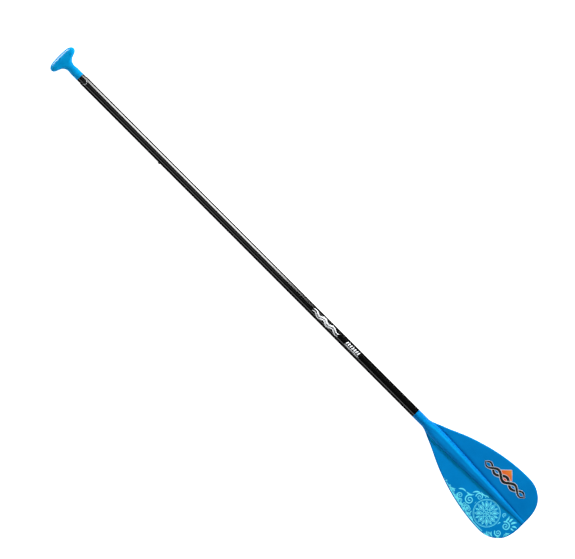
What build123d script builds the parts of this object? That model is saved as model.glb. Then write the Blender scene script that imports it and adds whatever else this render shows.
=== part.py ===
from build123d import *

import os
from math import cos, radians, sin, tan

# Single blade paddle for standing paddling, with a telescoping handle, at its shortest setting.
# Millimetres. +X runs along the shaft from the grip to the blade, +Z is up with the spine side of the
# blade on top. The paddle lies on z = 0, and the origin is under the middle of its box.

os.makedirs("parts", exist_ok=True)

# Along the paddle, measured from the top of the grip
TOTAL_LENGTH = 1883.0
GRIP_LENGTH = 86.0
MOUTH_AT = 99.0
NECK_AT = 1443.5
FLARE_AT = 1481.5

# Shaft and extension tube
SHAFT_RADIUS = 14.0
SHAFT_BORE = 12.8
EXTENSION_RADIUS = 12.75
EXTENSION_BORE = 11.45
EXTENSION_INSERTED = 410.0
EXTENSION_PLUG_SEAT = 16.0
EXTENSION_PLUG_FLANGE = 2.5

# Height adjustment: one snap button and a row of holes in the side of the shaft
BUTTON_FROM_MOUTH = 320.0
HOLE_PITCH = 50.8
HOLE_COUNT = 7
HOLE_RADIUS = 3.8
BUTTON_RADIUS = 3.5
BUTTON_HEIGHT = 6.0
BUTTON_EDGE = 1.2
SPRING_STRIP = 0.8
SPRING_WIDTH = 8.0
SPRING_LENGTH = 62.0
SPRING_FLAT = 14.0
SPRING_OUTSIDE = 10.5
SPRING_BEND = 3.0

# Grip
BAR_HALF_WIDTH = 45.7
BAR_SHOULDER = 24.6
BAR_CROWN = 1.9
BAR_DEPTH = 26.6
BAR_HALF_THICKNESS = 13.84
BAR_END_ANGLES = (32, 60, 80)
GRIP_NECK_RADIUS = 13.25
GRIP_SPIGOT_RADIUS = 11.2
GRIP_SPIGOT_LENGTH = 45.0

# Blade
BLADE_HALF_WIDTH = 104.0
BLADE_RAKE = 9.6
BLADE_DIHEDRAL = 3.5
RAKE_RADIUS = 300.0
PLATE_CENTRE = 7.6
PLATE_EDGE = 3.2
PLATE_STATIONS = 13
BLADE_SPIGOT_RADIUS = 12.5
BLADE_SPIGOT_LENGTH = 60.0

# Alignment mark on top of the shaft's mouth: a disc with an arc on its blade side
MARK_FROM_MOUTH = 5.4
MARK_DISC_RADIUS = 5.2
MARK_ARC_INSIDE = 7.2
MARK_ARC_OUTSIDE = 8.3
MARK_THICKNESS = 0.25

# Foam water stops
FOAM_LENGTH = 45.0
FOAM_GAP = 3.0

AXIS_Z = SHAFT_RADIUS
GRIP_END_X = -TOTAL_LENGTH / 2
MOUTH_X = GRIP_END_X + MOUTH_AT
NECK_X = GRIP_END_X + NECK_AT
FLARE_X = GRIP_END_X + FLARE_AT
TIP_X = GRIP_END_X + TOTAL_LENGTH
BLADE_LENGTH = TIP_X - FLARE_X
BUTTON_X = MOUTH_X + BUTTON_FROM_MOUTH
EXTENSION_TOP_X = GRIP_END_X + GRIP_LENGTH
EXTENSION_END_X = MOUTH_X + EXTENSION_INSERTED


def rod(x_start, x_end, radius):
    """A round bar on the shaft's axis."""
    circle = Plane((x_start, 0, AXIS_Z), x_dir=(0, 1, 0), z_dir=(1, 0, 0)) * Circle(radius)
    return extrude(circle, x_end - x_start)


def tube(x_start, x_end, outside, inside):
    """A round tube on the shaft's axis."""
    return rod(x_start, x_end, outside) - rod(x_start - 1, x_end + 1, inside)


def ellipse_at(x, y, z, half_width, half_height):
    """An ellipse that faces along the shaft."""
    plane = Plane((x, y, z), x_dir=(0, 1, 0), z_dir=(1, 0, 0))
    return plane * Ellipse(half_width, half_height)


def side_hole(x, outer_y, inner_y, radius):
    """A round pin that runs inward from the -Y side at x."""
    circle = Plane((x, outer_y, AXIS_Z), x_dir=(1, 0, 0), z_dir=(0, 1, 0)) * Circle(radius)
    return extrude(circle, inner_y - outer_y)


# ---------------------------------------------------------------- shaft and its foam


def main_shaft():
    shaft = tube(MOUTH_X, NECK_X, SHAFT_RADIUS, SHAFT_BORE)
    for stop in range(HOLE_COUNT):
        hole_x = BUTTON_X - stop * HOLE_PITCH
        shaft -= side_hole(hole_x, -SHAFT_RADIUS - 1, -SHAFT_BORE / 2, HOLE_RADIUS)
    return shaft


def skin_patch(cutter):
    """A thin piece that lies on the shaft's skin, inside a cutter that stands over it."""
    skin = tube(MOUTH_X, MOUTH_X + 4 * MARK_ARC_OUTSIDE, SHAFT_RADIUS + MARK_THICKNESS, SHAFT_RADIUS)
    return skin & Pos(MOUTH_X + MARK_FROM_MOUTH, 0, AXIS_Z + SHAFT_RADIUS) * cutter


def index_disc():
    return skin_patch(Cylinder(MARK_DISC_RADIUS, SHAFT_RADIUS))


def index_arc():
    ring = Cylinder(MARK_ARC_OUTSIDE, SHAFT_RADIUS) - Cylinder(MARK_ARC_INSIDE, 2 * SHAFT_RADIUS)
    blade_side = Pos(MARK_ARC_OUTSIDE + 2, 0, 0) * Box(2 * MARK_ARC_OUTSIDE, 3 * MARK_ARC_OUTSIDE, SHAFT_RADIUS)
    return skin_patch(ring & blade_side)


def blade_adhesive():
    start = NECK_X - BLADE_SPIGOT_LENGTH + 5
    return tube(start, NECK_X, SHAFT_BORE, BLADE_SPIGOT_RADIUS)


def blade_foam_plug():
    end = NECK_X - BLADE_SPIGOT_LENGTH - FOAM_GAP
    return rod(end - FOAM_LENGTH, end, SHAFT_BORE)


def shaft_foam_plug():
    start = EXTENSION_END_X + EXTENSION_PLUG_FLANGE + FOAM_GAP
    return rod(start, start + FOAM_LENGTH, SHAFT_BORE)


# ---------------------------------------------------------------- blade


def rake_height(distance):
    """How far the blade's middle surface has risen above the shaft's axis, from the flare on."""
    bend = RAKE_RADIUS * sin(radians(BLADE_RAKE))
    if distance <= 0:
        return 0.0
    if distance < bend:
        return RAKE_RADIUS - (RAKE_RADIUS**2 - distance**2) ** 0.5
    return RAKE_RADIUS * (1 - cos(radians(BLADE_RAKE))) + (distance - bend) * tan(radians(BLADE_RAKE))


def blade_outline():
    """Half of the blade's plan shape, mirrored: concave off the neck, widest near the tip."""
    start = (FLARE_X, SHAFT_RADIUS)
    widest = (FLARE_X + 322, BLADE_HALF_WIDTH)
    tip_corner = (TIP_X, 14)
    side = Spline(
        start,
        (FLARE_X + 40, 28.5),
        (FLARE_X + 126, 66),
        (FLARE_X + 212, 91.5),
        widest,
        tangents=[(1, 0.1), (1, 0)],
    )
    end = Spline(
        widest,
        (FLARE_X + 356, 97),
        (FLARE_X + 384, 76),
        tip_corner,
        tangents=[(1, 0), (0, -1)],
    )
    half = side + end
    other_half = mirror(half, about=Plane.XZ)
    tip = Line(tip_corner, (TIP_X, -14))
    root = Line(start, (FLARE_X, -SHAFT_RADIUS))
    return make_face(half + other_half + tip + root)


def plate_section(distance):
    """A slice across the blade, wider than the outline, which trims it: both halves slope up."""
    reach = BLADE_HALF_WIDTH + 6
    height = AXIS_Z + rake_height(distance)
    middle = PLATE_CENTRE / 2
    edge = PLATE_EDGE / 2
    lift = reach * tan(radians(BLADE_DIHEDRAL))
    below = [(-reach, lift - edge), (0, -middle), (reach, lift - edge)]
    above = [(reach, lift + edge), (0, middle), (-reach, lift + edge)]
    plane = Plane((FLARE_X + distance, 0, height), x_dir=(0, 1, 0), z_dir=(1, 0, 0))
    return plane * make_face(Polyline(*below, *above, close=True))


def blade_plate():
    length = BLADE_LENGTH + 4
    distances = [length * step / (PLATE_STATIONS - 1) for step in range(PLATE_STATIONS)]
    blank = loft([plate_section(distance) for distance in distances])
    trim = extrude(blade_outline(), 2 * BLADE_LENGTH)
    return blank & trim


def blade_spine():
    """The ridge that carries the shaft's line on to the tip: round at the neck, low at its end."""
    # Distance from the flare, half width, height above and depth below the plate's middle
    shape = [
        (0, SHAFT_RADIUS, SHAFT_RADIUS, SHAFT_RADIUS),
        (30, 18.6, 14.2, 12.0),
        (90, 18.8, 14.0, 7.0),
        (190, 14.6, 13.0, 3.6),
        (290, 10.6, 10.4, 3.2),
        (392, 5.6, 5.6, 2.4),
    ]
    slices = []
    for distance, half_width, above, below in shape:
        middle = AXIS_Z + rake_height(distance) + (above - below) / 2
        slices.append(ellipse_at(FLARE_X + distance, 0, middle, half_width, (above + below) / 2))
    return loft(slices)


def blade():
    neck = rod(NECK_X, FLARE_X, SHAFT_RADIUS)
    spigot = rod(NECK_X - BLADE_SPIGOT_LENGTH, NECK_X, BLADE_SPIGOT_RADIUS)
    return blade_plate() + blade_spine() + neck + spigot


# ---------------------------------------------------------------- handle


def bar_slice(y, top_x, scale_down):
    """An oval slice across the grip's bar, shrunk about its middle towards the bar's ends."""
    half_depth = (GRIP_END_X + BAR_CROWN + BAR_DEPTH - top_x) / 2
    plane = Plane((top_x + half_depth, y, AXIS_Z), x_dir=(1, 0, 0), z_dir=(0, 1, 0))
    return plane * Ellipse(half_depth * scale_down, BAR_HALF_THICKNESS * scale_down)


def grip_bar():
    """The cross bar: crowned on top, oval in section, with long rounded ends."""
    shoulder_top = GRIP_END_X + BAR_CROWN
    half = [bar_slice(0, GRIP_END_X, 1.0), bar_slice(BAR_SHOULDER, shoulder_top, 1.0)]
    for angle in BAR_END_ANGLES:
        reach = sin(radians(angle)) / sin(radians(BAR_END_ANGLES[-1]))
        y = BAR_SHOULDER + (BAR_HALF_WIDTH - BAR_SHOULDER) * reach
        half.append(bar_slice(y, shoulder_top, cos(radians(angle))))
    other_half = [mirror(slice_, about=Plane.XZ) for slice_ in half[:0:-1]]
    return loft(other_half + half)


def grip_stem():
    """The flared stem under the bar, down to the neck that stands on the extension tube."""
    # Distance from the top of the grip, half width and half thickness
    shape = [
        (17.0, 36.0, 12.6),
        (26.5, 33.0, 12.6),
        (31.0, 24.5, 12.4),
        (37.0, 17.0, 12.2),
        (48.0, 12.2, 12.1),
        (64.0, GRIP_NECK_RADIUS, GRIP_NECK_RADIUS),
    ]
    slices = [ellipse_at(GRIP_END_X + at, 0, AXIS_Z, wide, thick) for at, wide, thick in shape]
    neck_start = GRIP_END_X + shape[-1][0]
    return loft(slices) + rod(neck_start, EXTENSION_TOP_X, GRIP_NECK_RADIUS)


def grip():
    spigot = rod(EXTENSION_TOP_X, EXTENSION_TOP_X + GRIP_SPIGOT_LENGTH, GRIP_SPIGOT_RADIUS)
    return grip_bar() + grip_stem() + spigot


def grip_adhesive():
    end = EXTENSION_TOP_X + GRIP_SPIGOT_LENGTH - 4
    return tube(EXTENSION_TOP_X, end, EXTENSION_BORE, GRIP_SPIGOT_RADIUS)


def extension_tube():
    inner = tube(EXTENSION_TOP_X, EXTENSION_END_X, EXTENSION_RADIUS, EXTENSION_BORE)
    return inner - side_hole(BUTTON_X, -EXTENSION_RADIUS - 1, -EXTENSION_BORE / 2, HOLE_RADIUS)


def extension_plug():
    seat = rod(EXTENSION_END_X - EXTENSION_PLUG_SEAT, EXTENSION_END_X, EXTENSION_BORE)
    flange = rod(EXTENSION_END_X, EXTENSION_END_X + EXTENSION_PLUG_FLANGE, EXTENSION_RADIUS)
    return seat + flange


def button_spring():
    """A strip bent into a V: the flat end of one leg carries the button."""
    line_y = SPRING_OUTSIDE - SPRING_STRIP / 2
    end_x = BUTTON_X + SPRING_FLAT / 2
    knee_x = BUTTON_X - SPRING_FLAT / 2
    bend_x = end_x - SPRING_LENGTH
    path = FilletPolyline(
        (end_x, -line_y),
        (knee_x, -line_y),
        (bend_x, -SPRING_BEND),
        (bend_x, SPRING_BEND),
        (knee_x, line_y),
        (end_x, line_y),
        radius=SPRING_BEND * 0.8,
    )
    strip = trace(path, line_width=SPRING_STRIP)
    return Pos(0, 0, AXIS_Z) * extrude(strip, SPRING_WIDTH / 2, both=True)


def snap_button():
    base_y = -SPRING_OUTSIDE
    body = side_hole(BUTTON_X, base_y - BUTTON_HEIGHT, base_y, BUTTON_RADIUS)
    outer_rim = body.edges().sort_by(Axis.Y)[0]
    return fillet(outer_rim, BUTTON_EDGE)


PARTS = [
    blade,
    main_shaft,
    index_disc,
    index_arc,
    blade_adhesive,
    blade_foam_plug,
    shaft_foam_plug,
    grip,
    extension_tube,
    grip_adhesive,
    button_spring,
    extension_plug,
    snap_button,
]

for make in PARTS:
    export_step(make(), f"parts/{make.__name__}.step")
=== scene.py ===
import math

import bmesh
import bpy
from mathutils import Matrix, Vector
from mathutils.geometry import delaunay_2d_cdt


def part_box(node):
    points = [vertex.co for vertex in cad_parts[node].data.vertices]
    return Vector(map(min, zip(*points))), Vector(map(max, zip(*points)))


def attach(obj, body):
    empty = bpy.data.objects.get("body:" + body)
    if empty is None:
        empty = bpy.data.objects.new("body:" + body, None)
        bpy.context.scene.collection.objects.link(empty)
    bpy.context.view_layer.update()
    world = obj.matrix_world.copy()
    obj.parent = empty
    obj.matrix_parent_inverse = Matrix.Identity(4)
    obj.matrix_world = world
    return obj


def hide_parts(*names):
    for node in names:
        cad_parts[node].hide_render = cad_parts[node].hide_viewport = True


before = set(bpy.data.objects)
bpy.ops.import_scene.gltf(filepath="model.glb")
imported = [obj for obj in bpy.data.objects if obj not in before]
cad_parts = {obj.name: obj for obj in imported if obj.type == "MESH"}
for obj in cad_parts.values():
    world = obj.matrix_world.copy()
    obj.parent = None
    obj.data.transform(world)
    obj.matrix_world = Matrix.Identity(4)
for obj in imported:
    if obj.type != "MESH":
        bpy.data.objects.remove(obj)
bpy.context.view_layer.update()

# A stand-up paddle lies on the floor with its spine side up. Lengths are in metres.
# +X runs along the shaft from the grip to the blade, and +Y is across the blade.

MM = 0.001

# ------------------------------------------------------------------ places read from the frame

shaft_low, shaft_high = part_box("main_shaft")
blade_low, blade_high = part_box("blade")
grip_low, grip_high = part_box("grip")
tube_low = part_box("extension_tube")[0]

NECK_X = shaft_high.x
SHAFT_R = (shaft_high.y - shaft_low.y) / 2
AXIS_Z = (shaft_high.z + shaft_low.z) / 2
TIP_X = blade_high.x
SPIGOT_X = blade_low.x
BLADE_HALF = blade_high.y
GRIP_TOP = grip_low.x
GRIP_NECK_END = tube_low.x
GRIP_END = grip_high.x
GRIP_HALF = grip_high.y

# ------------------------------------------------------------------ blade shape

# The neck is a cylinder from the shaft's end to the flare, where the plate starts to widen.
FLARE_X = NECK_X + 38 * MM
BLADE_LENGTH = TIP_X - FLARE_X
SPIGOT_R = 12.5 * MM
SPIGOT_CHAMFER = 1 * MM
NECK_GAP = 0.05 * MM
NECK_CHAMFER = 0.5 * MM

# The blade bends up to its rake on an arc, and its sides rise by the dihedral from the neck on.
RAKE = math.radians(9.6)
RAKE_R = 300 * MM
DIHEDRAL = math.radians(3.5)
NECK_BLEND = 60 * MM

# The plate's half thickness in the middle and at the edge, and the radius of the edge's rounding
HALF_PLATE = 3.6 * MM
HALF_EDGE = 1.6 * MM
EDGE_ROUND = 4 * MM

# How far short of the tip the spine's line ends, and how far the swelling under the neck reaches
TIP_INSET = 7 * MM
BELLY_FADE = 110 * MM

# The spine's section is an ellipse at the flare, and grows fuller to this power over the blend.
SPINE_POWER = 2.5
SPINE_BLEND = 40 * MM

# The groove beside the spine, with the distances from the flare over which it fades in and out
GROOVE_DEPTH = 1.1 * MM
GROOVE_WIDTH = 3.4 * MM
GROOVE_IN = (20 * MM, 60 * MM)
GROOVE_OUT = (350 * MM, 392 * MM)

# Plan shape in millimetres: distance from the flare and half width. Each slope is a direction at
# one end of a curve.
OUTLINE_SIDE = [(0, 14), (40, 28.5), (126, 66), (212, 91.5), (322, 103.9)]
OUTLINE_END = [(322, 103.9), (356, 97), (384, 76), (401.4, 14)]
FLARE_SLOPE = (1, 0.1)
WIDEST_SLOPE = (1, 0)
TIP_SLOPE = (0, -1)
OUTLINE_STEPS = 40
TIP_STEPS = 10

# Spine in millimetres: distance from the flare, half width at its foot, and height above the
# plate's middle surface
SPINE = [
    (0, 14.0, 14.0),
    (4, 14.3, 13.95),
    (13, 16.8, 13.9),
    (24, 18.4, 14.0),
    (50, 18.9, 14.0),
    (90, 18.4, 13.6),
    (190, 14.4, 13.0),
    (290, 10.5, 10.4),
    (380, 6.4, 6.4),
    (402, 5.4, 4.6),
]


def smoothstep(low, high, value):
    """Goes smoothly from 0 to 1 as the value goes from low to high."""
    t = min(max((value - low) / (high - low), 0.0), 1.0)
    return t * t * (3 - 2 * t)


def hermite(t):
    """How much a cubic piece takes at t of its start, start slope, end and end slope."""
    start = 2 * t**3 - 3 * t**2 + 1
    start_slope = t**3 - 2 * t**2 + t
    end = -2 * t**3 + 3 * t**2
    end_slope = t**3 - t**2
    return start, start_slope, end, end_slope


def spline_points(points, start_slope, end_slope, count):
    """Points on a smooth curve through the given ones, as a chain of cubic pieces."""
    chain = [Vector(p) * MM for p in points]
    spans = [(b - a).length for a, b in zip(chain, chain[1:])]
    slopes = [Vector(start_slope).normalized()]
    for i in range(1, len(chain) - 1):
        before = (chain[i] - chain[i - 1]) / spans[i - 1]
        after = (chain[i + 1] - chain[i]) / spans[i]
        mean = before * spans[i] + after * spans[i - 1]
        slopes.append(mean.normalized())
    slopes.append(Vector(end_slope).normalized())
    made = []
    for i, span in enumerate(spans):
        for step in range(count):
            h1, h2, h3, h4 = hermite(step / count)
            from_start = chain[i] * h1 + slopes[i] * h2 * span
            made.append(from_start + chain[i + 1] * h3 + slopes[i + 1] * h4 * span)
    made.append(chain[-1])
    return made


def cubic(table, at, column):
    """A value on a smooth curve through a table's rows, whose first column rises."""
    at = min(max(at, table[0][0]), table[-1][0])
    last = len(table) - 2
    i = next((i for i in range(last) if at <= table[i + 1][0]), last)
    low, high = table[i], table[i + 1]
    before, after = table[max(i - 1, 0)], table[min(i + 2, last + 1)]
    span = high[0] - low[0]
    slope_low = (high[column] - before[column]) / (high[0] - before[0])
    slope_high = (after[column] - low[column]) / (after[0] - low[0])
    h1, h2, h3, h4 = hermite((at - low[0]) / span)
    return low[column] * h1 + slope_low * span * h2 + high[column] * h3 + slope_high * span * h4


def rake_height(x):
    """How far the blade's middle surface stands above the shaft's axis."""
    distance = x - FLARE_X
    bend = RAKE_R * math.sin(RAKE)
    if distance <= 0:
        return 0.0
    if distance < bend:
        return RAKE_R - math.sqrt(RAKE_R**2 - distance**2)
    return RAKE_R * (1 - math.cos(RAKE)) + (distance - bend) * math.tan(RAKE)


def outline():
    """Half of the blade's plan shape, from the flare to the middle of the tip."""
    side = spline_points(OUTLINE_SIDE, FLARE_SLOPE, WIDEST_SLOPE, OUTLINE_STEPS)
    end = spline_points(OUTLINE_END, WIDEST_SLOPE, TIP_SLOPE, OUTLINE_STEPS)
    tip_x, tip_half = OUTLINE_END[-1]
    tip = []
    for i in range(1, TIP_STEPS + 1):
        tip.append(Vector((tip_x, tip_half * (1 - i / TIP_STEPS))) * MM)
    return side[:-1] + end + tip


OUTLINE = outline()
OUTLINE_RUN = [0.0]
for before, after in zip(OUTLINE, OUTLINE[1:]):
    OUTLINE_RUN.append(OUTLINE_RUN[-1] + (after - before).length)


def outline_at(share):
    """The outline's point at a share of its length, as x and y in the frame."""
    target = share * OUTLINE_RUN[-1]
    for i in range(len(OUTLINE) - 1):
        if target <= OUTLINE_RUN[i + 1]:
            t = (target - OUTLINE_RUN[i]) / (OUTLINE_RUN[i + 1] - OUTLINE_RUN[i])
            point = OUTLINE[i].lerp(OUTLINE[i + 1], t)
            return Vector((FLARE_X + point.x, point.y))
    return Vector((FLARE_X + OUTLINE[-1].x, OUTLINE[-1].y))


def plate_half_thickness(y):
    """Half the plate's thickness at y, thinner towards the edge, without its rounding."""
    share = min(abs(y) / BLADE_HALF, 1.0)
    return HALF_PLATE + (HALF_EDGE - HALF_PLATE) * share


def middle_height(x, y):
    """The plate's middle surface: raked along x and dished across y."""
    lift = abs(y) * math.tan(DIHEDRAL) * smoothstep(0, NECK_BLEND, x - FLARE_X)
    return AXIS_Z + rake_height(x) + lift


def edge_rounding(from_edge):
    """Share of the full thickness at a distance in from the outline: a quarter round."""
    inward = min(from_edge / EDGE_ROUND, 1.0)
    return math.sqrt(1 - (1 - inward) ** 2)


def plate_height(y, from_edge):
    """Half the plate's thickness at y, rounded off at its edge."""
    return plate_half_thickness(y) * edge_rounding(from_edge)


def oval(x, y, foot, rise):
    """The height at y of an oval of half width foot, an ellipse at first and fuller along x."""
    share = min(abs(y) / foot, 1.0)
    power = 2 + (SPINE_POWER - 2) * smoothstep(0, SPINE_BLEND, x - FLARE_X)
    return rise * (1 - share**power) ** (1 / power)


def ridge_size(x, surface):
    """Half width and height of the spine, or of the swelling under it."""
    distance = (x - FLARE_X) / MM
    foot = cubic(SPINE, distance, 1) * MM
    if surface == "top":
        return foot, cubic(SPINE, distance, 2) * MM
    fade = 1 - smoothstep(0, BELLY_FADE, x - FLARE_X)
    return foot, SHAFT_R * fade


# ------------------------------------------------------------------ mesh helpers

MERGE_DISTANCE = 1e-6
SMALLEST_FACE = 1e-13


def add_object(name, mesh, sharp_angle):
    """A smooth shaded object, with creases where faces meet at more than sharp_angle degrees."""
    piece = bpy.data.objects.new(name, mesh)
    bpy.context.scene.collection.objects.link(piece)
    for polygon in mesh.polygons:
        polygon.use_smooth = True
    mark_sharp(mesh, sharp_angle)
    return piece


def mark_sharp(mesh, angle):
    """Sharp edges where two faces meet at more than an angle in degrees, so creases stay crisp."""
    work = bmesh.new()
    work.from_mesh(mesh)
    for edge in work.edges:
        if len(edge.link_faces) == 2:
            edge.smooth = edge.calc_face_angle(0) < math.radians(angle)
    work.to_mesh(mesh)
    work.free()


def mesh_from_loops(name, loops, cap_start=True, cap_end=True):
    """A closed skin through rings of points that all have the same count."""
    work = bmesh.new()
    rings = [[work.verts.new(point) for point in loop] for loop in loops]
    count = len(rings[0])
    for ring, following in zip(rings, rings[1:]):
        for i in range(count):
            j = (i + 1) % count
            work.faces.new((ring[i], ring[j], following[j], following[i]))
    if cap_start:
        work.faces.new(rings[0])
    if cap_end:
        work.faces.new(rings[-1])
    bmesh.ops.remove_doubles(work, verts=work.verts, dist=MERGE_DISTANCE)
    slivers = [face for face in work.faces if face.calc_area() < SMALLEST_FACE]
    bmesh.ops.delete(work, geom=slivers, context="FACES_ONLY")
    bmesh.ops.recalc_face_normals(work, faces=work.faces)
    mesh = bpy.data.meshes.new(name)
    work.to_mesh(mesh)
    work.free()
    return mesh


# ------------------------------------------------------------------ blade

# A station is a ring round the blade. Its points lie on lines from the spine out to the edge, and
# a share says how far along the outline a line ends, or how far along its line a point is.
ACROSS_SPINE = 16
ACROSS_GROOVE = 5
ACROSS_FLAT = 20
FLAT_CROWDING = 2.4
GROOVE_LARGEST_SHARE = 0.3
TIP_CREASE_SHARES = (0.05, 0.8)
HALVINGS = 40

# Stations stand closer over the first share of the outline. The neck's side of the blade is the
# first half of it.
NECK_STATIONS = 24
NECK_SHARE = 0.1
STATIONS = 120
NECK_SIDE_SHARE = 0.5
NECK_RINGS = 12
BLADE_SHARP_ANGLE = 32


def crease(x, edge_y, foot, rise, at_neck):
    """The share of a line at which the ridge meets the plate, found by halving."""
    near, far = 0.0, min(foot / edge_y, 1.0)
    for _ in range(HALVINGS):
        share = (near + far) / 2
        y = share * edge_y
        plate = plate_height(y, edge_y - y) if at_neck else plate_half_thickness(y)
        if oval(x, y, foot, rise) > plate:
            near = share
        else:
            far = share
    return near


def groove_depth(x, from_crease):
    """A shallow groove beside the spine that fades out at the neck and at the tip."""
    if not 0 <= from_crease < GROOVE_WIDTH:
        return 0.0
    distance = x - FLARE_X
    fade = smoothstep(*GROOVE_IN, distance) * (1 - smoothstep(*GROOVE_OUT, distance))
    return GROOVE_DEPTH * fade * (1 + math.cos(math.pi * from_crease / GROOVE_WIDTH)) / 2


def half_section(u, side, surface):
    """Points of one quarter of a station, from the spine's middle out to the edge."""
    spine_point = Vector((FLARE_X + u * (BLADE_LENGTH - TIP_INSET), 0))
    edge_point = outline_at(u)
    reach = edge_point - spine_point
    edge_y = max(edge_point.y, MERGE_DISTANCE)
    at_neck = u < NECK_SIDE_SHARE
    foot, rise = ridge_size(spine_point.x, surface)
    if at_neck:
        foot = min(foot, edge_y)
    meet = crease(spine_point.x, edge_y, foot, rise, at_neck)
    if not at_neck:
        meet = min(max(meet, TIP_CREASE_SHARES[0]), TIP_CREASE_SHARES[1])
    shares = [meet * math.sin(math.pi / 2 * i / ACROSS_SPINE) for i in range(ACROSS_SPINE)]
    groove_end = meet + min(GROOVE_WIDTH / edge_y, GROOVE_LARGEST_SHARE * (1 - meet))
    shares += [meet + (groove_end - meet) * i / ACROSS_GROOVE for i in range(ACROSS_GROOVE)]
    flat = 1 - groove_end
    for i in range(ACROSS_FLAT + 1):
        shares.append(groove_end + flat * (1 - (1 - i / ACROSS_FLAT) ** FLAT_CROWDING))
    points = []
    sign = 1 if surface == "top" else -1
    for share in shares:
        x, y = spine_point + reach * share
        from_edge = (1 - share) * reach.length
        ridge = oval(spine_point.x, y, foot, rise) if y < foot else 0.0
        if not at_neck:
            ridge *= edge_rounding(from_edge)
        height = max(plate_height(y, from_edge), ridge)
        if surface == "top" and share >= meet:
            height -= groove_depth(x, (share - meet) * edge_y)
        points.append(Vector((x, side * y, middle_height(x, y) + sign * height)))
    return points


def station(u):
    """A ring round the blade: +Y half of the top, -Y half, and back underneath."""
    top_right = half_section(u, 1, "top")
    top_left = half_section(u, -1, "top")
    low_left = half_section(u, -1, "bottom")
    low_right = half_section(u, 1, "bottom")
    return top_right[::-1] + top_left[1:] + low_left[-2::-1] + low_right[1:-1]


def neck_ring(x, radius, count):
    """A circle on the shaft's axis, with its points where a station's points are."""
    quarter = count // 4
    ring = []
    for i in range(count):
        turn = math.pi / 2 * (1 - i / quarter)
        ring.append(Vector((x, radius * math.sin(turn), AXIS_Z + radius * math.cos(turn))))
    return ring


def build_blade():
    """The blade's finer skin: spigot, neck, and the stations out to the tip."""
    shares = [NECK_SHARE * i / NECK_STATIONS for i in range(NECK_STATIONS)]
    shares += [NECK_SHARE + (1 - NECK_SHARE) * i / STATIONS for i in range(STATIONS + 1)]
    rings = [station(share) for share in shares]
    count = len(rings[0])
    shoulder_x = NECK_X + NECK_GAP
    neck = [
        neck_ring(SPIGOT_X, SPIGOT_R - SPIGOT_CHAMFER, count),
        neck_ring(SPIGOT_X + SPIGOT_CHAMFER, SPIGOT_R, count),
        neck_ring(shoulder_x, SPIGOT_R, count),
        neck_ring(shoulder_x, SHAFT_R - NECK_CHAMFER, count),
        neck_ring(shoulder_x + NECK_CHAMFER, SHAFT_R, count),
    ]
    for i in range(1, NECK_RINGS):
        neck.append(neck_ring(NECK_X + (FLARE_X - NECK_X) * i / NECK_RINGS, SHAFT_R, count))
    mesh = mesh_from_loops("blade_shell", neck + rings, cap_end=False)
    return add_object("blade_shell", mesh, BLADE_SHARP_ANGLE)


# ------------------------------------------------------------------ grip

BAR_SHOULDER = 28.5 * MM
BAR_CROWN = 1.4 * MM
BAR_HALF_DEPTH = 13.3 * MM
BAR_HALF_THICKNESS = 13.95 * MM
BAR_SIDE_GAP = 0.1 * MM
GRIP_NECK_R = 13.25 * MM
GRIP_SPIGOT_R = 11.2 * MM

# Mesh steps over the bar, down the flanks, and over each of a ring's four runs
BAR_STEPS = 24
FLANK_STEPS = 150
RING_STEPS = 20
GRIP_SHARP_ANGLE = 40

# Below the bar's middle, in millimetres: distance from the grip's top, half width and half
# thickness
GRIP_FLANK = [
    (15.2, 45.6, 13.95),
    (18.0, 45.2, 13.9),
    (20.5, 44.1, 13.7),
    (23.0, 42.0, 13.4),
    (25.5, 38.3, 13.1),
    (28.3, 31.5, 12.8),
    (31.0, 24.8, 12.5),
    (34.0, 19.8, 12.3),
    (37.0, 16.8, 12.15),
    (40.0, 14.8, 12.05),
    (43.0, 13.4, 12.0),
    (47.0, 12.3, 12.0),
    (52.0, 12.0, 12.0),
    (57.0, 12.45, 12.45),
    (62.0, 13.05, 13.05),
    (66.0, 13.25, 13.25),
]

# Grooves round the grip, in millimetres: distances from its top, depth and half width
RING_PLACES = (19.5, 67.5, 71.7, 75.9, 80.1)
RING_DEPTH = 0.5
RING_HALF = 1.1

# The chamfer at the neck's lower end: its length in millimetres, and its depth as a share of that
END_CHAMFER = 0.8
END_CHAMFER_SLOPE = 0.5


def stadium_ring(x_at, straight, end_length, thickness, crown):
    """A ring across the grip: two straight runs of half length straight, with oval ends."""
    ring = []
    for side in (1, -1):
        for i in range(RING_STEPS):
            turn = math.pi * i / RING_STEPS - math.pi / 2
            y = side * (straight + end_length * math.cos(turn))
            ring.append((y, side * thickness * math.sin(turn)))
        for i in range(RING_STEPS):
            t = i / RING_STEPS
            ring.append((side * straight * (1 - 2 * t), side * thickness))
    return [Vector((x_at + crown * (y / BAR_SHOULDER) ** 2, y, AXIS_Z + z)) for y, z in ring]


def ring_groove(distance):
    """Depth of the moulded grooves round the grip at a distance from its top."""
    for place in RING_PLACES:
        off = abs(distance - place) / RING_HALF
        if off < 1:
            return RING_DEPTH * (1 + math.cos(math.pi * off)) / 2
    return 0.0


def bar_rings():
    """The grip's bar, from its crowned top down to its widest."""
    rings = []
    middle_x = GRIP_TOP + BAR_CROWN + BAR_HALF_DEPTH
    for i in range(BAR_STEPS + 1):
        turn = math.pi / 2 * i / BAR_STEPS
        x = middle_x - BAR_HALF_DEPTH * math.cos(turn)
        crown = BAR_CROWN * (1 - smoothstep(0, BAR_STEPS, i))
        end_length = (GRIP_HALF - BAR_SIDE_GAP - BAR_SHOULDER) * math.sin(turn)
        thickness = BAR_HALF_THICKNESS * math.sin(turn)
        rings.append(stadium_ring(x - crown, BAR_SHOULDER, end_length, thickness, crown))
    return rings


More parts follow.
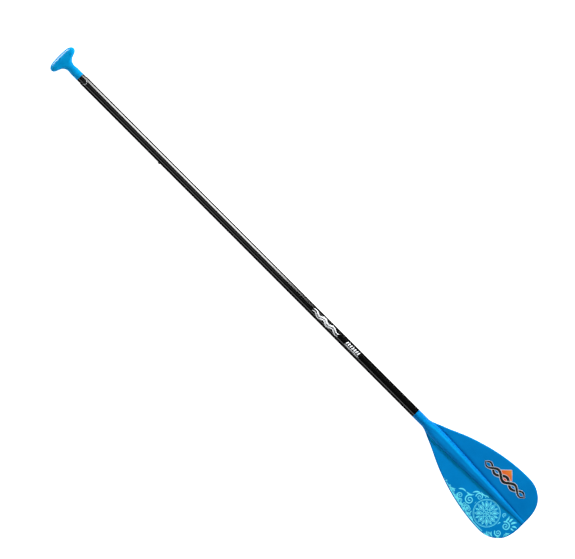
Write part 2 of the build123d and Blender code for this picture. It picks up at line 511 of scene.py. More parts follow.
def flank_rings():
    """From the bar's widest down the flanks and the neck to the extension tube."""
    rings = []
    start, stop = GRIP_FLANK[0][0], (GRIP_NECK_END - GRIP_TOP) / MM
    widest = GRIP_FLANK[0][1]
    neck = GRIP_NECK_R / MM
    for i in range(1, FLANK_STEPS + 1):
        distance = start + (stop - start) * i / FLANK_STEPS
        groove = ring_groove(distance)
        chamfer = max(0.0, END_CHAMFER - (stop - distance)) * END_CHAMFER_SLOPE
        wide = cubic(GRIP_FLANK, distance, 1) - groove - chamfer
        thick = cubic(GRIP_FLANK, distance, 2) - groove - chamfer
        straight = BAR_SHOULDER * max(0.0, wide - neck) / (widest - neck)
        x = GRIP_TOP + distance * MM
        rings.append(stadium_ring(x, straight, wide * MM - straight, thick * MM, 0))
    return rings


def build_grip():
    """The grip's finer skin: bar, flanks, neck and spigot."""
    rings = bar_rings() + flank_rings()
    for x in (GRIP_NECK_END, GRIP_END):
        rings.append(stadium_ring(x, 0, GRIP_SPIGOT_R, GRIP_SPIGOT_R, 0))
    mesh = mesh_from_loops("grip_body", rings, cap_start=False)
    return add_object("grip_body", mesh, GRIP_SHARP_ANGLE)


# ------------------------------------------------------------------ printed artwork

# The underside and the top of a print's film above the surface that carries it
FILM_LOW = 0.02 * MM
FILM_TOP = 0.12 * MM
FILM_SHARP_ANGLE = 30

# How far round from the shaft's top towards +Y its marks are centred
SHAFT_PRINT_LEAN = math.radians(5.2)

# The artwork is drawn flat in millimetres, and its angles are in degrees. On the blade, x runs
# from the flare and y outward from the middle. On the shaft, x is the frame's.
PRINT_INSET = 3.5
POINT_WELD = 1e-4
BAND_STEPS = 60

# A power below 1 makes a leaf widest nearer its root, and a strand more even.
LEAF_STEPS = 20
LEAF_POWER = 0.8
THINNEST_LEAF = 0.05
STRAND_POWER = 0.4
THINNEST_STRAND = 0.1

# Curls: steps for each turn and at the least, and the shares of radius and width lost inward
CURL_STEPS = 40
FEWEST_CURL_STEPS = 12
CURL_WINDS_IN = 0.84
CURL_THINS_BY = 0.55


class Artwork:
    """Flat shapes. The last shape laid over a spot gives its ink, or clears it with None."""

    def __init__(self):
        self.shapes = []
        self.inks = []
        self.cuts = []

    def shape(self, points, ink):
        """A polygon, turned so that its corners run anticlockwise."""
        area = sum(a.x * b.y - b.x * a.y for a, b in zip(points, points[1:] + points[:1]))
        self.shapes.append(points if area > 0 else points[::-1])
        self.inks.append(ink)

    def disc(self, centre, radius, ink, sides=72):
        self.shape([centre + radius * way for way in round_about(sides)], ink)

    def ring(self, centre, radius, width, ink):
        """A ring whose inside is cleared."""
        self.disc(centre, radius, ink)
        self.disc(centre, radius - width, None)

    def stroke(self, line, width, ink):
        """A brush stroke along a line. width gives its width at a share of the way along."""
        left, right = [], []
        for i, point in enumerate(line):
            ahead = line[min(i + 1, len(line) - 1)] - line[max(i - 1, 0)]
            side = Vector((-ahead.y, ahead.x)).normalized() * width(i / (len(line) - 1)) / 2
            left.append(point + side)
            right.append(point - side)
        self.shape(left + right[::-1], ink)

    def curl(self, centre, radius, start, turns, width, ink):
        """A stroke that winds in to its centre and thins as it goes. Turns below 0 wind back."""
        steps = max(int(CURL_STEPS * abs(turns)), FEWEST_CURL_STEPS)
        line = []
        for i in range(steps + 1):
            share = i / steps
            turn = math.radians(start) + 2 * math.pi * turns * share
            reach = radius * (1 - CURL_WINDS_IN * share)
            line.append(centre + reach * Vector((math.cos(turn), math.sin(turn))))
        self.stroke(line, lambda share: width * (1 - CURL_THINS_BY * share), ink)
        self.disc(line[-1], width / 2, ink, 16)

    def leaf(self, root, tip, width, ink, bend=0.0):
        """A pointed leaf from root to tip, bent sideways by a share of its length."""
        span = tip - root
        side = Vector((-span.y, span.x))
        line = []
        for i in range(LEAF_STEPS + 1):
            straight = root + span * i / LEAF_STEPS
            line.append(straight + side * bend * math.sin(math.pi * i / LEAF_STEPS))

        def thickness(share):
            return max(width * math.sin(math.pi * share**LEAF_POWER), THINNEST_LEAF)

        self.stroke(line, thickness, ink)

    def strand(self, line, width, ink):
        """A stroke of nearly even width that runs out to a point at both ends."""

        def thickness(share):
            return max(width * math.sin(math.pi * share) ** STRAND_POWER, THINNEST_STRAND)

        self.stroke(line, thickness, ink)

    def curls(self, rows, ink):
        """Curls from rows of centre x and y, radius, start, turns and width."""
        for x, y, radius, start, turns, width in rows:
            self.curl(Vector((x, y)), radius, start, turns, width, ink)

    def leaves(self, rows, ink):
        """Leaves from rows of root x and y, reach along x and y, width and bend."""
        for x, y, reach_x, reach_y, width, bend in rows:
            self.leaf(Vector((x, y)), Vector((x + reach_x, y + reach_y)), width, ink, bend)

    def row_cuts(self, start, stop, half, count):
        """Lines along x that split the shapes finely enough to bend round a shaft."""
        for i in range(count + 1):
            y = half * (2 * i / count - 1)
            self.cuts.append((Vector((start, y)), Vector((stop, y))))

    def pieces(self):
        """The flat points, and for each ink the triangles that it covers."""
        points, faces, edges = [], [], []
        for shape in self.shapes:
            faces.append(list(range(len(points), len(points) + len(shape))))
            points.extend(shape)
        for cut in self.cuts:
            edges.append((len(points), len(points) + 1))
            points.extend(cut)
        mesh = delaunay_2d_cdt(points, edges, faces, 0, POINT_WELD, True)
        corners, triangles, owners = mesh[0], mesh[2], mesh[5]
        covered = {}
        for triangle, owner in zip(triangles, owners):
            ink = self.inks[max(owner)] if owner else None
            if ink:
                covered.setdefault(ink, []).append(triangle)
        return corners, covered


def round_about(count, start=0.0):
    """Directions evenly spaced round a circle."""
    for i in range(count):
        turn = math.radians(start) + 2 * math.pi * i / count
        yield Vector((math.cos(turn), math.sin(turn)))


def film(name, corners, triangles, place):
    """A thin closed film. place(point, lift) puts a flat point on the surface that carries it."""
    work = bmesh.new()
    used = sorted({i for triangle in triangles for i in triangle})
    top = {i: work.verts.new(place(corners[i], FILM_TOP)) for i in used}
    low = {i: work.verts.new(place(corners[i], FILM_LOW)) for i in used}
    rim = set()
    for triangle in triangles:
        work.faces.new([top[i] for i in triangle])
        work.faces.new([low[i] for i in triangle[::-1]])
        for a, b in zip(triangle, triangle[1:] + triangle[:1]):
            if (b, a) in rim:
                rim.remove((b, a))
            else:
                rim.add((a, b))
    for a, b in sorted(rim):
        work.faces.new((top[b], top[a], low[a], low[b]))
    bmesh.ops.recalc_face_normals(work, faces=work.faces)
    mesh = bpy.data.meshes.new(name)
    work.to_mesh(mesh)
    work.free()
    return add_object(name, mesh, FILM_SHARP_ANGLE)


def on_blade(side):
    """Lays artwork on one half of the blade: x from the flare, and y outward from the middle."""

    def place(point, lift):
        x = FLARE_X + point.x * MM
        y = point.y * MM
        return Vector((x, side * y, middle_height(x, y) + plate_half_thickness(y) + lift))

    return place


def on_shaft(point, lift):
    """Wraps artwork round the shaft: x along it, and y round it towards +Y from the lean."""
    turn = point.y * MM / SHAFT_R + SHAFT_PRINT_LEAN
    radius = SHAFT_R + lift
    return Vector((point.x * MM, radius * math.sin(turn), AXIS_Z + radius * math.cos(turn)))


def half_width_at(distance):
    """Half the blade's width at a distance from the flare, both in millimetres."""
    for before, after in zip(OUTLINE, OUTLINE[1:]):
        if distance * MM <= after.x:
            share = (distance * MM - before.x) / (after.x - before.x)
            return before.lerp(after, share).y / MM
    return OUTLINE_END[-1][1]


def edge_band(art, start, stop, depth, ink):
    """A band that follows the blade's edge. depth gives its depth at a share of the way along."""
    outer, inner = [], []
    for i in range(BAND_STEPS + 1):
        share = i / BAND_STEPS
        x = start + (stop - start) * i / BAND_STEPS
        y = half_width_at(x) - PRINT_INSET
        outer.append(Vector((x, y)))
        inner.append(Vector((x, y - depth(share))))
    art.shape(outer + inner[::-1], ink)


ROSETTE = Vector((306, 54))
ROSETTE_RADIUS = 40
ROSETTE_MARGIN = 3.6

# Rings round the rosette's centre: radius and width
OUTER_RINGS = ((ROSETTE_RADIUS, 1.6), (ROSETTE_RADIUS - 3.2, 0.7))
HEART_RING = (11.4, 1.8)
HEART_RADIUS = 1.9

# A petal's layers: where it starts and ends from the centre, its width and its ink
PETAL_COUNT = 8
PETAL_LAYERS = (
    (11.5, 35.5, 12.4, "pale"),
    (14.0, 33.0, 9.0, None),
    (16.5, 30.5, 5.4, "pale"),
)

# The darts between the petals: where the tip is from the centre, and distances in from the tip
DART_TIP = 35.4
DART_LENGTH = 15
DART_WIDEST_AT = 6
DART_HALF_WIDTH = 3.2
DART_EYE_AT = 6.6
DART_EYE_RADIUS = 1.2

# The seeds round the heart: where one starts and ends from the centre, and its width
SEED_COUNT = 6
SEED = (2.6, 8.8, 3.4)


def draw_dart(art, way):
    """A kite between two petals, pointing outward, with a hole in it."""
    tip = ROSETTE + way * DART_TIP
    widest = tip - way * DART_WIDEST_AT
    across = Vector((-way.y, way.x)) * DART_HALF_WIDTH
    art.shape([tip, widest + across, tip - way * DART_LENGTH, widest - across], "pale")
    art.disc(tip - way * DART_EYE_AT, DART_EYE_RADIUS, None, 20)


def draw_rosette(art):
    """A flower inside two rings, with darts between its petals and seeds in its heart."""
    art.disc(ROSETTE, ROSETTE_RADIUS + ROSETTE_MARGIN, None)
    for radius, width in OUTER_RINGS:
        art.ring(ROSETTE, radius, width, "pale")
    for way in round_about(PETAL_COUNT):
        for near, far, width, ink in PETAL_LAYERS:
            art.leaf(ROSETTE + way * near, ROSETTE + way * far, width, ink)
    for way in round_about(PETAL_COUNT, 180 / PETAL_COUNT):
        draw_dart(art, way)
    art.ring(ROSETTE, *HEART_RING, "pale")
    near, far, width = SEED
    for way in round_about(SEED_COUNT):
        art.leaf(ROSETTE + way * near, ROSETTE + way * far, width, "pale")
    art.disc(ROSETTE, HEART_RADIUS, "pale", 24)


# The waves along the edge: each size at the first wave, and what it gains by the last
WAVE_COUNT = 8
WAVE_X, WAVE_X_GAIN = 160, 118
WAVE_RADIUS, WAVE_RADIUS_GAIN = 2.8, 5.4
WAVE_RISE, WAVE_RISE_GAIN = 2.5, 12.5
WAVE_STROKE, WAVE_STROKE_GAIN = 1.3, 1.5
WAVE_MARGIN = 1.0
WAVE_TURNS_FROM = 100
WAVE_TURNS = 1.35

# The notch cut out over all but the first waves, placed from the wave's centre
WAVES_WITHOUT_NOTCH = 3
NOTCH_ROOT = Vector((-8, 7))
NOTCH_TIP = Vector((3, 11))
NOTCH_WIDTH, NOTCH_WIDTH_GAIN = 1.5, 1.0
NOTCH_BEND = 0.2

# The band under the waves, with its depth growing the same way, and the even band past it
WAVE_BAND = (148, 292)
BAND_DEPTH, BAND_DEPTH_GAIN = 0.6, 9.5
TIP_BAND = (292, 332)
TIP_BAND_DEPTH = 2.6


def draw_edge_waves(art):
    """Waves that roll up from the blade's edge and grow towards the rosette."""
    edge_band(art, *WAVE_BAND, lambda share: BAND_DEPTH + BAND_DEPTH_GAIN * share, "pale")
    for i in range(WAVE_COUNT):
        share = i / (WAVE_COUNT - 1)
        x = WAVE_X + WAVE_X_GAIN * share
        rise = half_width_at(x) - PRINT_INSET - WAVE_RISE - WAVE_RISE_GAIN * share
        centre = Vector((x, rise))
        radius = WAVE_RADIUS + WAVE_RADIUS_GAIN * share
        stroke = WAVE_STROKE + WAVE_STROKE_GAIN * share
        art.disc(centre, radius + WAVE_MARGIN, None, 40)
        art.curl(centre, radius, WAVE_TURNS_FROM, WAVE_TURNS, stroke, "pale")
        if i >= WAVES_WITHOUT_NOTCH:
            width = NOTCH_WIDTH + NOTCH_WIDTH_GAIN * share
            art.leaf(centre + NOTCH_ROOT, centre + NOTCH_TIP, width, None, NOTCH_BEND)


# Curls: centre x and y, radius, start, turns and width
# Leaves: root x and y, reach along x and y, width and bend
SHOULDER_CURLS = (
    (244, 62, 14.0, 250, -1.6, 4.0),
    (259, 36, 11.0, 140, 1.5, 3.2),
    (216, 73, 10.0, 40, 1.5, 3.2),
    (254, 84, 8.0, 300, -1.4, 2.8),
    (194, 77, 6.5, 20, 1.3, 2.4),
    (277, 23, 6.0, 120, 1.3, 2.2),
)
SHOULDER_LEAVES = (
    (173, 76, 22, -8, 4.2, 0.16),
    (200, 63, 24, -9, 4.6, -0.18),
    (222, 52, 22, -10, 4.6, 0.18),
    (236, 42, 22, -16, 4.4, -0.18),
    (228, 82, 20, 4, 4.4, 0.18),
    (252, 23, 24, -8, 4.0, 0.18),
    (206, 86, 20, 1, 3.6, -0.12),
    (262, 52, 8, 14, 3.4, 0.12),
)
TIP_CURLS = (
    (370, 41, 13.0, 200, 1.6, 3.8),
    (368, 70, 10.5, 170, -1.5, 3.2),
    (349, 90, 6.0, 190, -1.3, 2.4),
    (346, 21, 6.5, 60, 1.3, 2.4),
    (389, 60, 5.0, 100, 1.2, 2.0),
)
TIP_LEAVES = (
    (360, 31, -3, -18, 5.6, 0.14),
    (370, 26, 1, -16, 5.6, -0.1),
    (377, 27, 10, -16, 5.8, -0.14),
    (384, 30, 14, -8, 5.0, -0.14),
    (353, 44, -4, 16, 4.4, 0.16),
    (384, 34, 12, -2, 4.2, 0.16),
    (383, 55, 10, -10, 4.0, 0.2),
    (352, 80, 14, 9, 4.2, 0.2),
    (338, 99, 22, -8, 3.2, 0.1),
    (372, 82, 8, -8, 4.0, 0.1),
)


def draw_blade_print():
    """Edge waves, scrolls and leaves on both sides of a rosette, which clears its own place."""
    art = Artwork()
    draw_edge_waves(art)
    art.curls(SHOULDER_CURLS, "pale")
    art.leaves(SHOULDER_LEAVES, "pale")
    art.curls(TIP_CURLS, "pale")
    art.leaves(TIP_LEAVES, "pale")
    edge_band(art, *TIP_BAND, lambda share: TIP_BAND_DEPTH, "pale")
    draw_rosette(art)
    return art


# The emblem: the diamond's centre and half diagonals, then the braid's line, swing and strands
DIAMOND = Vector((270, 62))
DIAMOND_LAYERS = ((23.0, "white"), (21.6, "warm"))
BRAID_START = Vector((196, 47))
BRAID_RUN = Vector((157, 7))
BRAID_SWING = 8.0
BRAID_WAVES = 2.5
BRAID_END_SHARE = 0.1
BRAID_STEPS = 160
STRAND_LAYERS = ((10.4, "white"), (8.0, "black"))


def draw_emblem():
    """A diamond behind a braid of two dark strands with white edges."""
    art = Artwork()
    for half, ink in DIAMOND_LAYERS:
        ways = ((1, 0), (0, 1), (-1, 0), (0, -1))
        art.shape([DIAMOND + Vector(way) * half for way in ways], ink)
    for hand in (1, -1):
        line = []
        for i in range(BRAID_STEPS + 1):
            share = i / BRAID_STEPS
            opening = min(share / BRAID_END_SHARE, (1 - share) / BRAID_END_SHARE, 1)
            swing = BRAID_SWING * math.sin(math.pi / 2 * opening)
            wave = hand * swing * math.sin(2 * math.pi * BRAID_WAVES * share)
            x = BRAID_START.x + BRAID_RUN.x * share
            y = BRAID_START.y + BRAID_RUN.y * share
            line.append(Vector((x, y + wave)))
        for width, ink in STRAND_LAYERS:
            art.strand(line, width, ink)
    return art


# The two ripples along the shaft: middle line and width
RIPPLES = ((4.8, 5.4), (-2.6, 4.2))
RIPPLE_START = 84
RIPPLE_RUN = 105
RIPPLE_SWING = 3.4
RIPPLE_COUNT = 3
RIPPLE_STEPS = 96

# A dash's corners from its own start, and the corners of the line under the dashes
DASH = ((0, -1), (4.2, -1), (6.6, 8.5), (2.4, 8.5))
DASH_START = 218
DASH_PITCH = 7.6
DASH_COUNT = 7
UNDERLINE = ((218, -5.5), (271, -5.5), (272, -3.4), (219, -3.4))

# The cuts that let the shaft's marks bend: start and end along x, reach to both sides, and count
SHAFT_CUTS = (80, 280, 13, 20)


def draw_shaft_marks():
    """A double wave along the shaft, then slanted dashes over a line."""
    art = Artwork()
    for middle, width in RIPPLES:
        line = []
        for i in range(RIPPLE_STEPS + 1):
            share = i / RIPPLE_STEPS
            y = middle + RIPPLE_SWING * math.sin(2 * math.pi * RIPPLE_COUNT * share)
            line.append(Vector((RIPPLE_START + RIPPLE_RUN * share, y)))
        art.strand(line, width, "white")
    for i in range(DASH_COUNT):
        start = DASH_START + DASH_PITCH * i
        art.shape([Vector((start + x, y)) for x, y in DASH], "white")
    art.shape([Vector(corner) for corner in UNDERLINE], "white")
    art.row_cuts(*SHAFT_CUTS)
    return art


def build_prints():
    """Thin films for the artwork, each with its ink."""
    pale = plain_material("print_cyan", (0.11, 0.76, 0.93), (0.15, 0.84, 0.97), 0.42, 160, 0.15)
    white = plain_material("print_white", (0.74, 0.77, 0.80), (0.84, 0.86, 0.88), 0.42, 160, 0.2)
    soot = ((0.004, 0.005, 0.006), (0.01, 0.011, 0.012))
    black = plain_material("print_black", *soot, 0.4, 160, 0.2)
    inks = {"pale": pale, "white": white, "black": black, "warm": warm_material()}
    sheets = {
        "blade_print": (draw_blade_print(), on_blade(-1)),
        "blade_emblem": (draw_emblem(), on_blade(1)),
        "shaft_marks": (draw_shaft_marks(), on_shaft),
    }
    made = []
    for sheet, (art, place) in sheets.items():
        corners, covered = art.pieces()
        for ink, triangles in sorted(covered.items()):
            piece = film(f"{sheet}_{ink}", corners, triangles, place)
            own(piece, "paddle", inks[ink])
            made.append(piece)
    return made


# ------------------------------------------------------------------ materials

# Colours are linear red, green and blue, and a finish's scale is its noise's.

# The distance over which the shaft's twill repeats
TOW_PITCH = 4.4 * MM

# Distances from the grip's top over which its stipple fades in and out
STIPPLE_IN = (36 * MM, 44 * MM)
STIPPLE_OUT = (62 * MM, 65 * MM)

# Where across the blade the warm ink turns from red to orange
WARM_RUN = (50 * MM, 80 * MM)


class Nodes:
    """A short way to write a material's nodes."""

    def __init__(self, name):
        self.material = bpy.data.materials.new(name)
        self.material.use_nodes = True
        self.tree = self.material.node_tree
        self.shader = self.tree.nodes["Principled BSDF"]

    def add(self, kind, inputs=None, **settings):
        """A node with its settings, and with its inputs set or linked."""
        node = self.tree.nodes.new(kind)
        for key, value in settings.items():
            setattr(node, key, value)
        for key, value in (inputs or {}).items():
            if isinstance(value, bpy.types.NodeSocket):
                self.tree.links.new(value, node.inputs[key])
            else:
                node.inputs[key].default_value = value
        return node

    def set(self, **values):
        """Sets the shader's inputs, or links sockets to them. Underscores stand for spaces."""
        for key, value in values.items():
            socket = self.shader.inputs[key.replace("_", " ")]
            if isinstance(value, bpy.types.NodeSocket):
                self.tree.links.new(value, socket)
            else:
                socket.default_value = value

    def place(self):
        """The shaded point's position."""
        return self.add("ShaderNodeNewGeometry").outputs["Position"]

    def noise(self, scale, detail=3, roughness=0.55, where=None):
        inputs = {"Scale": scale, "Detail": detail, "Roughness": roughness}
        inputs["Vector"] = where or self.place()
        return self.add("ShaderNodeTexNoise", inputs).outputs["Fac"]

    def math(self, operation, first, second=0.0):
        return self.add("ShaderNodeMath", {0: first, 1: second}, operation=operation).outputs[0]

    def ramp(self, value, low, high, low_at=0.3, high_at=0.7):
        """Blends two colours as a value goes from low_at to high_at."""
        node = self.add("ShaderNodeValToRGB", {"Fac": value})
        first, second = node.color_ramp.elements
        first.position, second.position = low_at, high_at
        first.color = (*low, 1)
        second.color = (*high, 1)
        return node.outputs["Color"]

    def span(self, value, low, high, low_at=0.3, high_at=0.7):
        """Maps a value from low_at..high_at to low..high."""
        inputs = {"Value": value, "From Min": low_at, "From Max": high_at}
        inputs.update({"To Min": low, "To Max": high})
        return self.add("ShaderNodeMapRange", inputs).outputs["Result"]

    def bump(self, height, strength, distance, normal=None):
        inputs = {"Height": height, "Strength": strength, "Distance": distance}
        if normal is not None:
            inputs["Normal"] = normal
        return self.add("ShaderNodeBump", inputs).outputs["Normal"]


def blade_material():
    """Glass-filled nylon: blue, satin, with a fine mould grain and faint flow clouds."""
    n = Nodes("blade_nylon")
    clouds = n.noise(14, 4)
    grain = n.noise(900, 2, 0.6)
    stretch = {0: n.place(), 1: (0.35, 1.6, 1.0)}
    stretched = n.add("ShaderNodeVectorMath", stretch, operation="MULTIPLY").outputs["Vector"]
    fibres = n.noise(420, 3, 0.7, stretched)
    tone = n.math("ADD", n.math("MULTIPLY", clouds, 0.7), n.math("MULTIPLY", fibres, 0.3))
    n.set(Base_Color=n.ramp(tone, (0.001, 0.175, 0.525), (0.002, 0.228, 0.64)))
    n.set(Roughness=n.span(fibres, 0.36, 0.48))
    n.set(Specular_IOR_Level=0.5, Specular_Tint=(0, 0.75, 1, 1))
    n.set(Normal=n.bump(fibres, 0.35, 0.12 * MM, n.bump(grain, 0.3, 0.08 * MM)))
    return n.material


def grip_material():
    """Moulded plastic: blue, satin, with a fine stipple round its waist."""
    n = Nodes("grip_plastic")
    clouds = n.noise(60, 3)
    cell_inputs = {"Vector": n.place(), "Scale": 420}
    cells = n.add("ShaderNodeTexVoronoi", cell_inputs, feature="F1").outputs["Distance"]
    along = n.add("ShaderNodeSeparateXYZ", {"Vector": n.place()}).outputs["X"]
    zone = n.span(along, 0.0, 1.0, GRIP_TOP + STIPPLE_IN[0], GRIP_TOP + STIPPLE_IN[1])
    zone_end = n.span(along, 1.0, 0.0, GRIP_TOP + STIPPLE_OUT[0], GRIP_TOP + STIPPLE_OUT[1])
    dots = n.span(cells, 1.0, 0.0, 0.1, 0.5)
    stipple = n.math("MULTIPLY", n.math("MULTIPLY", zone, zone_end), dots)
    n.set(Base_Color=n.ramp(clouds, (0.001, 0.265, 0.61), (0.002, 0.335, 0.72)))
    n.set(Roughness=n.span(clouds, 0.24, 0.34), Specular_IOR_Level=0.1)
    fine = n.bump(n.noise(1400, 2), 0.25, 0.06 * MM)
    n.set(Normal=n.bump(stipple, 0.8, 0.3 * MM, fine))
    return n.material


def composite_material():
    """Black fibre composite under clear gloss, with a fine twill that just shows."""
    n = Nodes("fibre_composite")
    parts = n.add("ShaderNodeSeparateXYZ", {"Vector": n.place()}).outputs
    height = n.math("SUBTRACT", parts["Z"], AXIS_Z)
    turn = n.math("ARCTAN2", parts["Y"], height)
    round_run = n.math("MULTIPLY", turn, SHAFT_R)
    tow = 2 * math.pi / TOW_PITCH
    warp = n.math("SINE", n.math("MULTIPLY", n.math("ADD", parts["X"], round_run), tow))
    weft = n.math("SINE", n.math("MULTIPLY", n.math("SUBTRACT", parts["X"], round_run), tow))
    twill = n.math("MULTIPLY", warp, weft)
    scuffs = n.noise(300, 4, 0.7)
    n.set(Base_Color=n.ramp(twill, (0.002, 0.002, 0.0021), (0.007, 0.007, 0.0068), 0.0, 1.0))
    n.set(Roughness=n.span(scuffs, 0.11, 0.17), Specular_IOR_Level=0.5)
    n.set(Coat_Weight=0.4, Coat_Roughness=0.06)
    n.set(Normal=n.bump(twill, 0.12, 0.12 * MM, n.bump(scuffs, 0.1, 0.1 * MM)))
    return n.material


def plain_material(name, low, high, rough, scale, specular=0.4, metallic=0.0, bump=0.2):
    """An even finish with a little mottling and grain."""
    n = Nodes(name)
    mottle = n.noise(scale, 3)
    n.set(Base_Color=n.ramp(mottle, low, high), Metallic=metallic)
    n.set(Roughness=n.span(mottle, rough * 0.85, rough * 1.15), Specular_IOR_Level=specular)
    n.set(Normal=n.bump(n.noise(scale * 6, 2), bump, 0.08 * MM))
    return n.material


def warm_material():
    """Warm ink that runs from red to orange towards the blade's edge."""
    n = Nodes("print_warm")
    across = n.add("ShaderNodeSeparateXYZ", {"Vector": n.place()}).outputs["Y"]
    mottle = n.math("MULTIPLY", n.noise(160), 0.05)
    warmth = n.math("ADD", n.span(across, 0.0, 1.0, *WARM_RUN), mottle)
    n.set(Base_Color=n.ramp(warmth, (0.78, 0.05, 0.02), (0.85, 0.25, 0.03), 0.0, 1.0))
    n.set(Roughness=0.42, Specular_IOR_Level=0.15)
    return n.material


def floor_material():
    """Matte white that also glows, so that the floor stays plain and pale."""
    n = Nodes("studio_white")
    n.set(Base_Color=(0.9, 0.9, 0.9, 1), Roughness=0.9, Specular_IOR_Level=0.0)
    n.set(Emission_Color=(1, 1, 1, 1), Emission_Strength=1.0)
    return n.material


# ------------------------------------------------------------------ stage, light and camera

# The lens is so long that the view is almost parallel. Lens and sensor are in millimetres.
LENS = 800.0
SENSOR = 36.0
CLIP_END = 200

# The view's width at the paddle, the point in its middle and how far across the paddle that is
# shifted, the camera's lean towards +Y, and the paddle's angle in the picture
FRAME_WIDTH = 1.6428
LOOK_AT = Vector((-0.0274, 0, AXIS_Z))
ACROSS_SHIFT = 0.0104
CAMERA_LEAN = math.radians(5.2)
PADDLE_SLOPE = math.radians(45.04)


def build_camera():
    """A long lens over the paddle, leaned to its +Y side, with the paddle on the diagonal."""
    along = Vector((1, 0, 0))
    across = Vector((0, math.cos(CAMERA_LEAN), -math.sin(CAMERA_LEAN)))
    back = along.cross(across)
    right = along * math.cos(PADDLE_SLOPE) + across * math.sin(PADDLE_SLOPE)
    up = across * math.cos(PADDLE_SLOPE) - along * math.sin(PADDLE_SLOPE)
    data = bpy.data.cameras.new("camera")
    data.lens = LENS
    data.sensor_width = SENSOR
    data.clip_end = CLIP_END
    camera = bpy.data.objects.new("camera", data)
    bpy.context.scene.collection.objects.link(camera)
    distance = FRAME_WIDTH * LENS / SENSOR
    place = LOOK_AT + across * ACROSS_SHIFT + back * distance
    turn = Matrix((right, up, back)).transposed().to_4x4()
    camera.matrix_world = Matrix.Translation(place) @ turn
    bpy.context.scene.camera = camera


# A lamp that shines nearly along X has the first of its sides along Y instead.
NEARLY_ALONG = 0.9


def softbox(name, place, target, size, power):
    """A rectangular lamp at place that faces target. size runs along X first."""
    data = bpy.data.lights.new(name, "AREA")
    data.shape = "RECTANGLE"
    data.size, data.size_y = size
    data.energy = power
    lamp = bpy.data.objects.new(name, data)
    bpy.context.scene.collection.objects.link(lamp)
    back = (Vector(place) - Vector(target)).normalized()
    side = Vector((1, 0, 0))
    if abs(back.x) > NEARLY_ALONG:
        side = Vector((0, 1, 0))
    side = (side - back * side.dot(back)).normalized()
    up = back.cross(side)
    turn = Matrix((side, up, back)).transposed().to_4x4()
    lamp.matrix_world = Matrix.Translation(Vector(place)) @ turn
    return lamp


# Lamps: place, what it faces, size with the X side first, power, and what it is for.
# A diffuse lamp lights every surface. The others only show in the gloss of the pieces they name.
LAMPS = {
    "side": ((0.0, 1.95, 1.0), (0, 0, 0), (3.6, 0.5), 96, "diffuse"),
    "back_fill": ((0, -1.9, 1.0), (0, 0, 0), (3.6, 0.6), 30, "diffuse"),
    "rim": ((-2.3, 0.0, 0.25), (-0.93, 0, 0), (1.2, 0.5), 12, "diffuse"),
    "rim_gloss": ((-2.3, 0.0, 0.15), (-0.93, 0, 0), (1.2, 0.3), 115, "grip"),
    "stripe": ((-0.455, 2.12, 0.57), (-0.455, 0, 0), (0.85, 1.7), 70, "shaft"),
    "faint_stripe": ((0, -1.9, 1.45), (0, 0, 0), (3.6, 0.6), 14, "shaft"),
    "overhead": ((-0.46, 0.27, 3.0), (-0.46, 0, 0), (0.86, 1.6), 2.4, "shaft"),
    "blade_sheen": ((0.03, 0.92, 1.86), (0.72, 0, 0), (0.8, 0.5), 44, "blade"),
}

# The world's strength for surfaces, and the floor's half side and how far it lies below the paddle
AMBIENT = 0.03
FLOOR_HALF = 30.0
FLOOR_DROP = 0.5 * MM


def build_lights(gloss_pieces):
    """The studio's lamps. gloss_pieces gives the pieces that each kind of gloss lamp shows in."""
    for name, (place, target, size, power, seen_by) in LAMPS.items():
        lamp = softbox(name, place, target, size, power)
        lamp.visible_glossy = seen_by != "diffuse"
        lamp.visible_diffuse = seen_by == "diffuse"
        if seen_by != "diffuse":
            receivers = bpy.data.collections.new(f"{name}_receivers")
            for piece in gloss_pieces[seen_by]:
                receivers.objects.link(piece)
            lamp.light_linking.receiver_collection = receivers


def build_world():
    """White to the camera, dim light for the surfaces, and nothing in their gloss."""
    world = bpy.data.worlds.new("studio")
    bpy.context.scene.world = world
    world.use_nodes = True
    nodes, links = world.node_tree.nodes, world.node_tree.links
    background = nodes["Background"]
    background.inputs["Color"].default_value = (1, 1, 1, 1)
    path = nodes.new("ShaderNodeLightPath")
    shade = nodes.new("ShaderNodeMapRange")
    shade.inputs["To Min"].default_value = AMBIENT
    shade.inputs["To Max"].default_value = 1.0
    links.new(path.outputs["Is Camera Ray"], shade.inputs["Value"])
    links.new(shade.outputs["Result"], background.inputs["Strength"])
    world.cycles_visibility.glossy = False


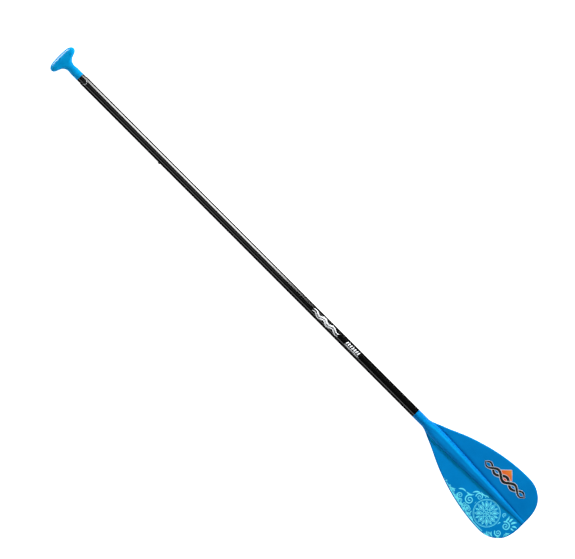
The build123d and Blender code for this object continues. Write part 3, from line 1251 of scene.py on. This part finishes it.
def build_floor():
    """A plain floor just under the paddle."""
    mesh = bpy.data.meshes.new("studio_floor")
    half, low = FLOOR_HALF, -FLOOR_DROP
    corners = [(-half, -half, low), (half, -half, low), (half, half, low), (-half, half, low)]
    mesh.from_pydata(corners, [], [(0, 1, 2, 3)])
    floor = bpy.data.objects.new("studio_floor", mesh)
    bpy.context.scene.collection.objects.link(floor)
    mesh.materials.append(floor_material())
    floor.visible_glossy = False


# ------------------------------------------------------------------ assembly


def dress(piece, material):
    """Gives a piece one material in place of any that it has."""
    piece.data.materials.clear()
    piece.data.materials.append(material)


def own(piece, body, material, node=None):
    """Gives a new piece its body, slot and material, and hides the CAD node that it stands for."""
    dress(piece, material)
    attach(piece, body)
    if node:
        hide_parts(node)


def dress_nodes(composite):
    """Materials for the CAD nodes that stay as they are."""
    plug = plain_material("plug_black", (0.01, 0.01, 0.01), (0.022, 0.022, 0.022), 0.5, 90)
    glue = plain_material("epoxy", (0.55, 0.45, 0.22), (0.68, 0.6, 0.36), 0.3, 120)
    foam = plain_material("foam", (0.72, 0.72, 0.68), (0.86, 0.86, 0.83), 0.9, 500, 0.2, bump=0.8)
    steel = plain_material("steel", (0.42, 0.42, 0.43), (0.6, 0.6, 0.61), 0.28, 200, 0.5, 1.0)
    # The index disc's near-black is painted shade at the shaft's mouth, darker than the shaft
    # round it.
    black = plain_material("mark_black", (0.004, 0.004, 0.004), (0.009, 0.009, 0.009), 0.4, 200)
    # The index arc's pale grey is a painted highlight, standing in for light caught by a ridge at
    # the shaft's mouth.
    pale = plain_material("mark_pale", (0.6, 0.62, 0.64), (0.75, 0.76, 0.78), 0.4, 200)
    looks = {
        "main_shaft": composite,
        "extension_tube": composite,
        "index_disc": black,
        "index_arc": pale,
        "blade_adhesive": glue,
        "grip_adhesive": glue,
        "blade_foam_plug": foam,
        "shaft_foam_plug": foam,
        "button_spring": steel,
        "snap_button": steel,
        "extension_plug": plug,
    }
    for name, material in looks.items():
        dress(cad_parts[name], material)


bpy.context.scene.view_settings.view_transform = "Standard"
blade_shell = build_blade()
grip_body = build_grip()
own(blade_shell, "paddle", blade_material(), "blade")
own(grip_body, "handle", grip_material(), "grip")
dress_nodes(composite_material())
prints = build_prints()
build_floor()
build_world()
carried = [node for name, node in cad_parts.items() if name not in ("blade", "grip")]
build_lights({"blade": [blade_shell] + prints, "grip": [grip_body], "shaft": carried + prints})
build_camera()
